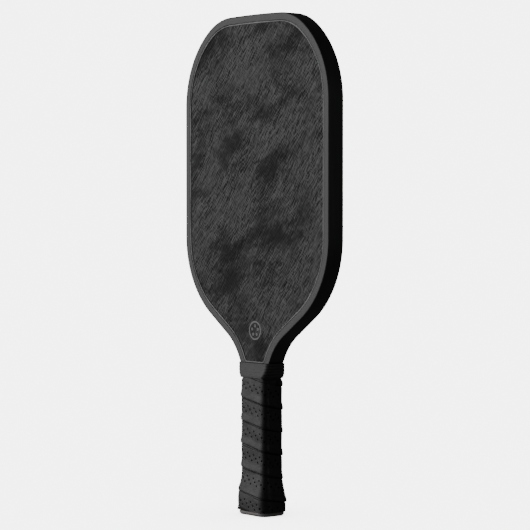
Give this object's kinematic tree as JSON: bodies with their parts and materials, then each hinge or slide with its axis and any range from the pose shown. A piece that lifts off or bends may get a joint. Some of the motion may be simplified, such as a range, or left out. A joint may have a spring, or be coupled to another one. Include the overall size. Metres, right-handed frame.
{
  "type": "pickleball paddle",
  "caption": "Elongated pickleball paddle with a honeycomb blank, carbon faces, edge guard, flared butt and a cushioned spiral grip.",
  "frame": {"origin": "middle of the flat lower face of the butt's end plate", "axes": "+Z along the paddle from the butt to the crown, +Y out of the rear face, so the front face looks along -Y, and +X to the right of a viewer who looks at the front face"},
  "size_m": [0.1906, 0.0308, 0.4191],
  "materials": {
    "core": "pale translucent polypropylene honeycomb",
    "foam": "matt closed-cell foam",
    "scrim": "thin non-woven polyester",
    "glass_ply": "resin-set glass cloth",
    "carbon_face": "raw peel-ply carbon with fine brushed strokes, matt",
    "edge_guard": "smooth satin elastomer",
    "bond_strip": "soft double-sided tape",
    "edge_bead": "thin grey adhesive bead",
    "handle_pallet": "dense moulded foam",
    "butt_cap": "moulded plastic",
    "end_plate": "satin moulded plastic, slightly warm dark grey",
    "staple": "bright wire",
    "grip": "tacky perforated cushion strip, matt with soft sheen",
    "finishing_tape": "smooth vinyl tape",
    "collar": "ribbed matt rubber band"
  },
  "bodies": {
    "root": {"honeycomb_core": "core", "foam_edge_rim": "foam", "front_core_scrim": "scrim", "rear_core_scrim": "scrim", "front_glass_ply": "glass_ply", "rear_glass_ply": "glass_ply", "front_carbon_face": "carbon_face", "rear_carbon_face": "carbon_face", "edge_guard": "edge_guard", "edge_bond_strip": "bond_strip", "front_edge_bead": "edge_bead", "rear_edge_bead": "edge_bead", "front_handle_pallet": "handle_pallet", "rear_handle_pallet": "handle_pallet", "butt_cap": "butt_cap", "butt_end_plate": "end_plate", "front_butt_staple": "staple", "rear_butt_staple": "staple", "grip_wrap": "grip", "finishing_tape": "finishing_tape", "grip_collar": "collar"}
  },
  "joints": []
}
